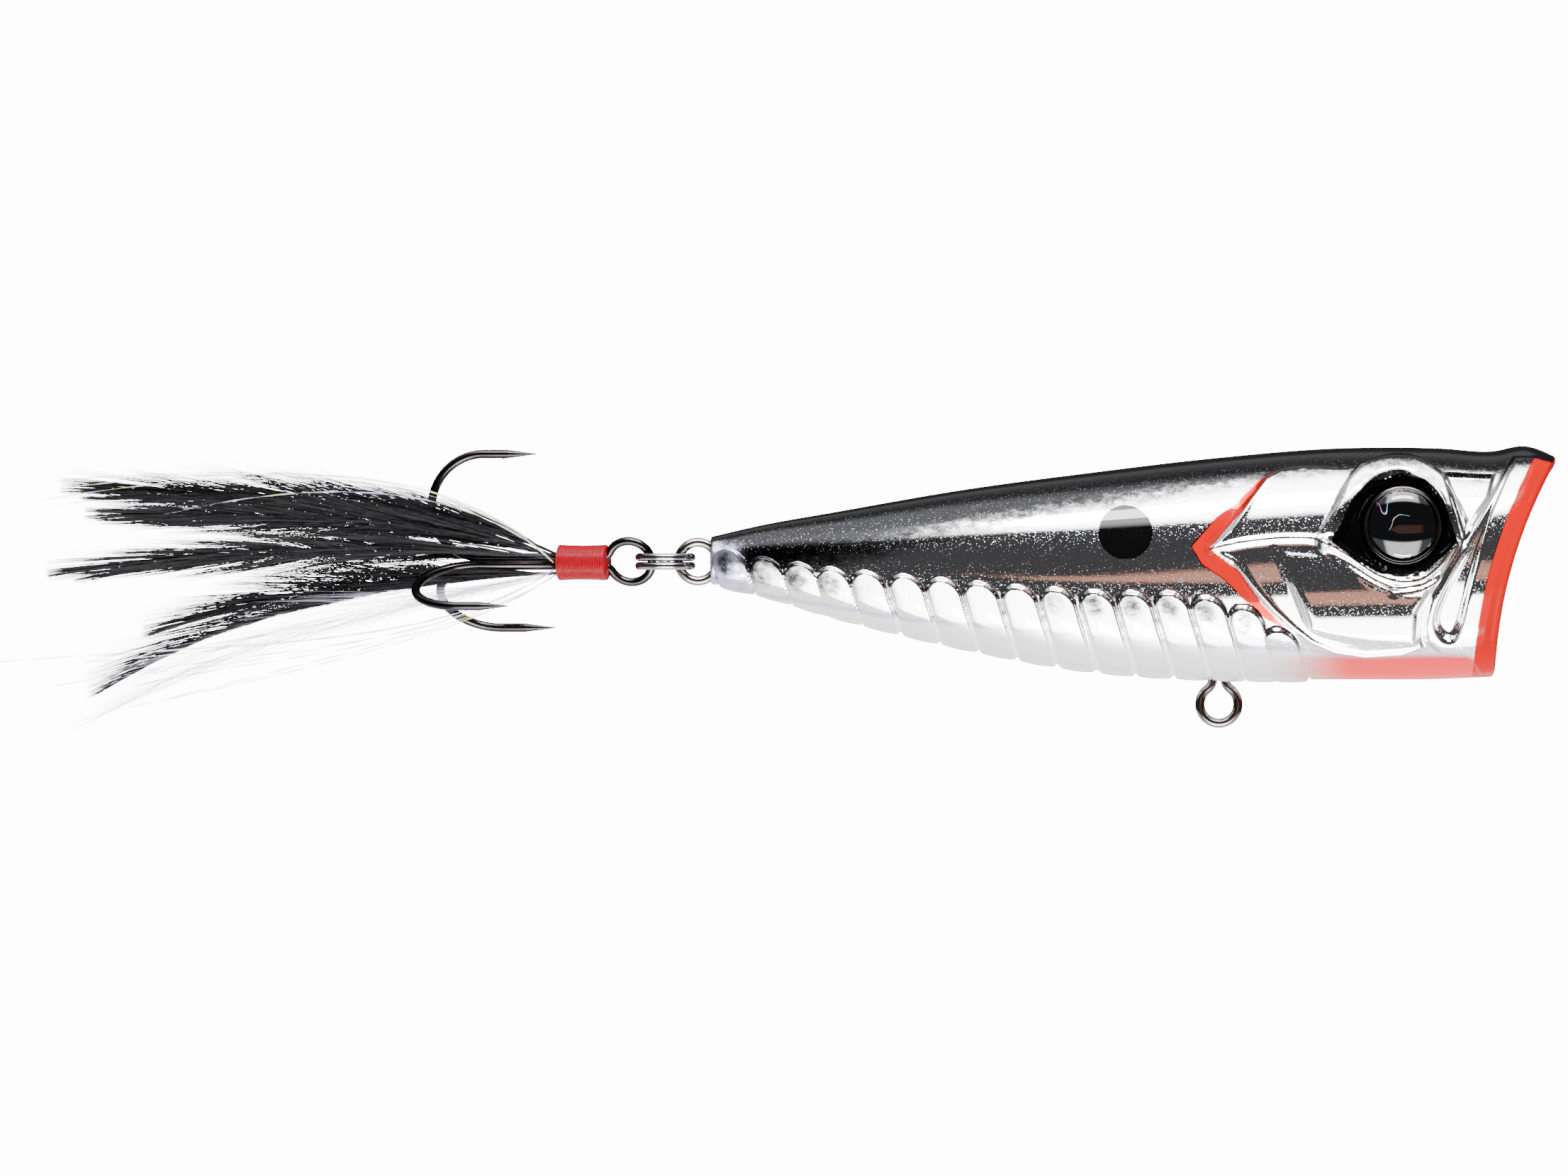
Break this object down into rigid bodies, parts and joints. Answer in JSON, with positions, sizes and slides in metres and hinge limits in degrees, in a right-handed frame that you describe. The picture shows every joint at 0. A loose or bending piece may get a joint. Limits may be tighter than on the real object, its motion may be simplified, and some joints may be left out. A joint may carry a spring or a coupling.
{
  "type": "topwater popper",
  "caption": "Hollow cup-mouthed surface fishing lure with domed eyes, wire hangers and a feather-dressed treble hook swinging on a split ring.",
  "frame": {"origin": "centre of the line tie's eye in the mouth cup, where the line pulls", "axes": "+X forward out of the mouth, +Z to the back of the fish, +Y to its left flank"},
  "size_m": [0.1299, 0.0292, 0.0236],
  "materials": {
    "plated_shell": "vacuum-metallised clear ABS, black back, under gloss clear coat",
    "eye_foil": "foil disc with holographic scratches",
    "eye_dome": "dark clear cast resin",
    "hanger_wire": "bright stainless wire",
    "ballast_metal": "turned brass",
    "rattle_steel": "polished steel ball",
    "split_ring_steel": "polished stainless coil",
    "hook_black_nickel": "black nickel plate",
    "red_thread": "waxed nylon thread under head cement",
    "black_feather": "dyed cock hackle",
    "white_feather": "natural white hackle",
    "flash_film": "metallised polyester strand"
  },
  "bodies": {
    "lure": {"shell_right": "plated_shell", "shell_left": "plated_shell", "eye_disc_right": "eye_foil", "eye_disc_left": "eye_foil", "eye_lens_right": "eye_dome", "eye_lens_left": "eye_dome", "line_tie_wire": "hanger_wire", "belly_hanger_wire": "hanger_wire", "tail_hanger_wire": "hanger_wire", "ballast_weight": "ballast_metal"},
    "front_rattle": {"rattle_ball_front": "rattle_steel"},
    "rear_rattle": {"rattle_ball_rear": "rattle_steel"},
    "ring": {"split_ring": "split_ring_steel"},
    "treble": {"treble_double_wire": "hook_black_nickel", "treble_third_hook": "hook_black_nickel", "thread_wrap": "red_thread", "black_hackle_1": "black_feather", "black_hackle_2": "black_feather", "black_hackle_3": "black_feather", "black_hackle_4": "black_feather", "black_hackle_5": "black_feather", "black_hackle_6": "black_feather", "black_hackle_7": "black_feather", "black_hackle_8": "black_feather", "white_hackle_1": "white_feather", "white_hackle_2": "white_feather", "white_hackle_3": "white_feather", "flash_tinsel_1": "flash_film", "flash_tinsel_2": "flash_film", "flash_tinsel_3": "flash_film", "flash_tinsel_4": "flash_film"}
  },
  "joints": [
    {"name": "front_rattle_roll", "type": "slide", "parent": "lure", "child": "front_rattle", "axis": [0, 1, 0], "range_m": [-0.0024, 0.0024]},
    {"name": "rear_rattle_roll", "type": "slide", "parent": "lure", "child": "rear_rattle", "axis": [0, 1, 0], "range_m": [-0.0024, 0.0024]},
    {"name": "ring_swing", "type": "hinge", "parent": "lure", "child": "ring", "pos_m": [-0.06582, 0, -0.00125], "axis": [0, 1, 0], "range_deg": [-85, 85]},
    {"name": "hook_swing", "type": "hinge", "parent": "ring", "child": "treble", "pos_m": [-0.06856, 0, -0.00125], "axis": [0, 0, 1], "range_deg": [-66, 94]}
  ]
}
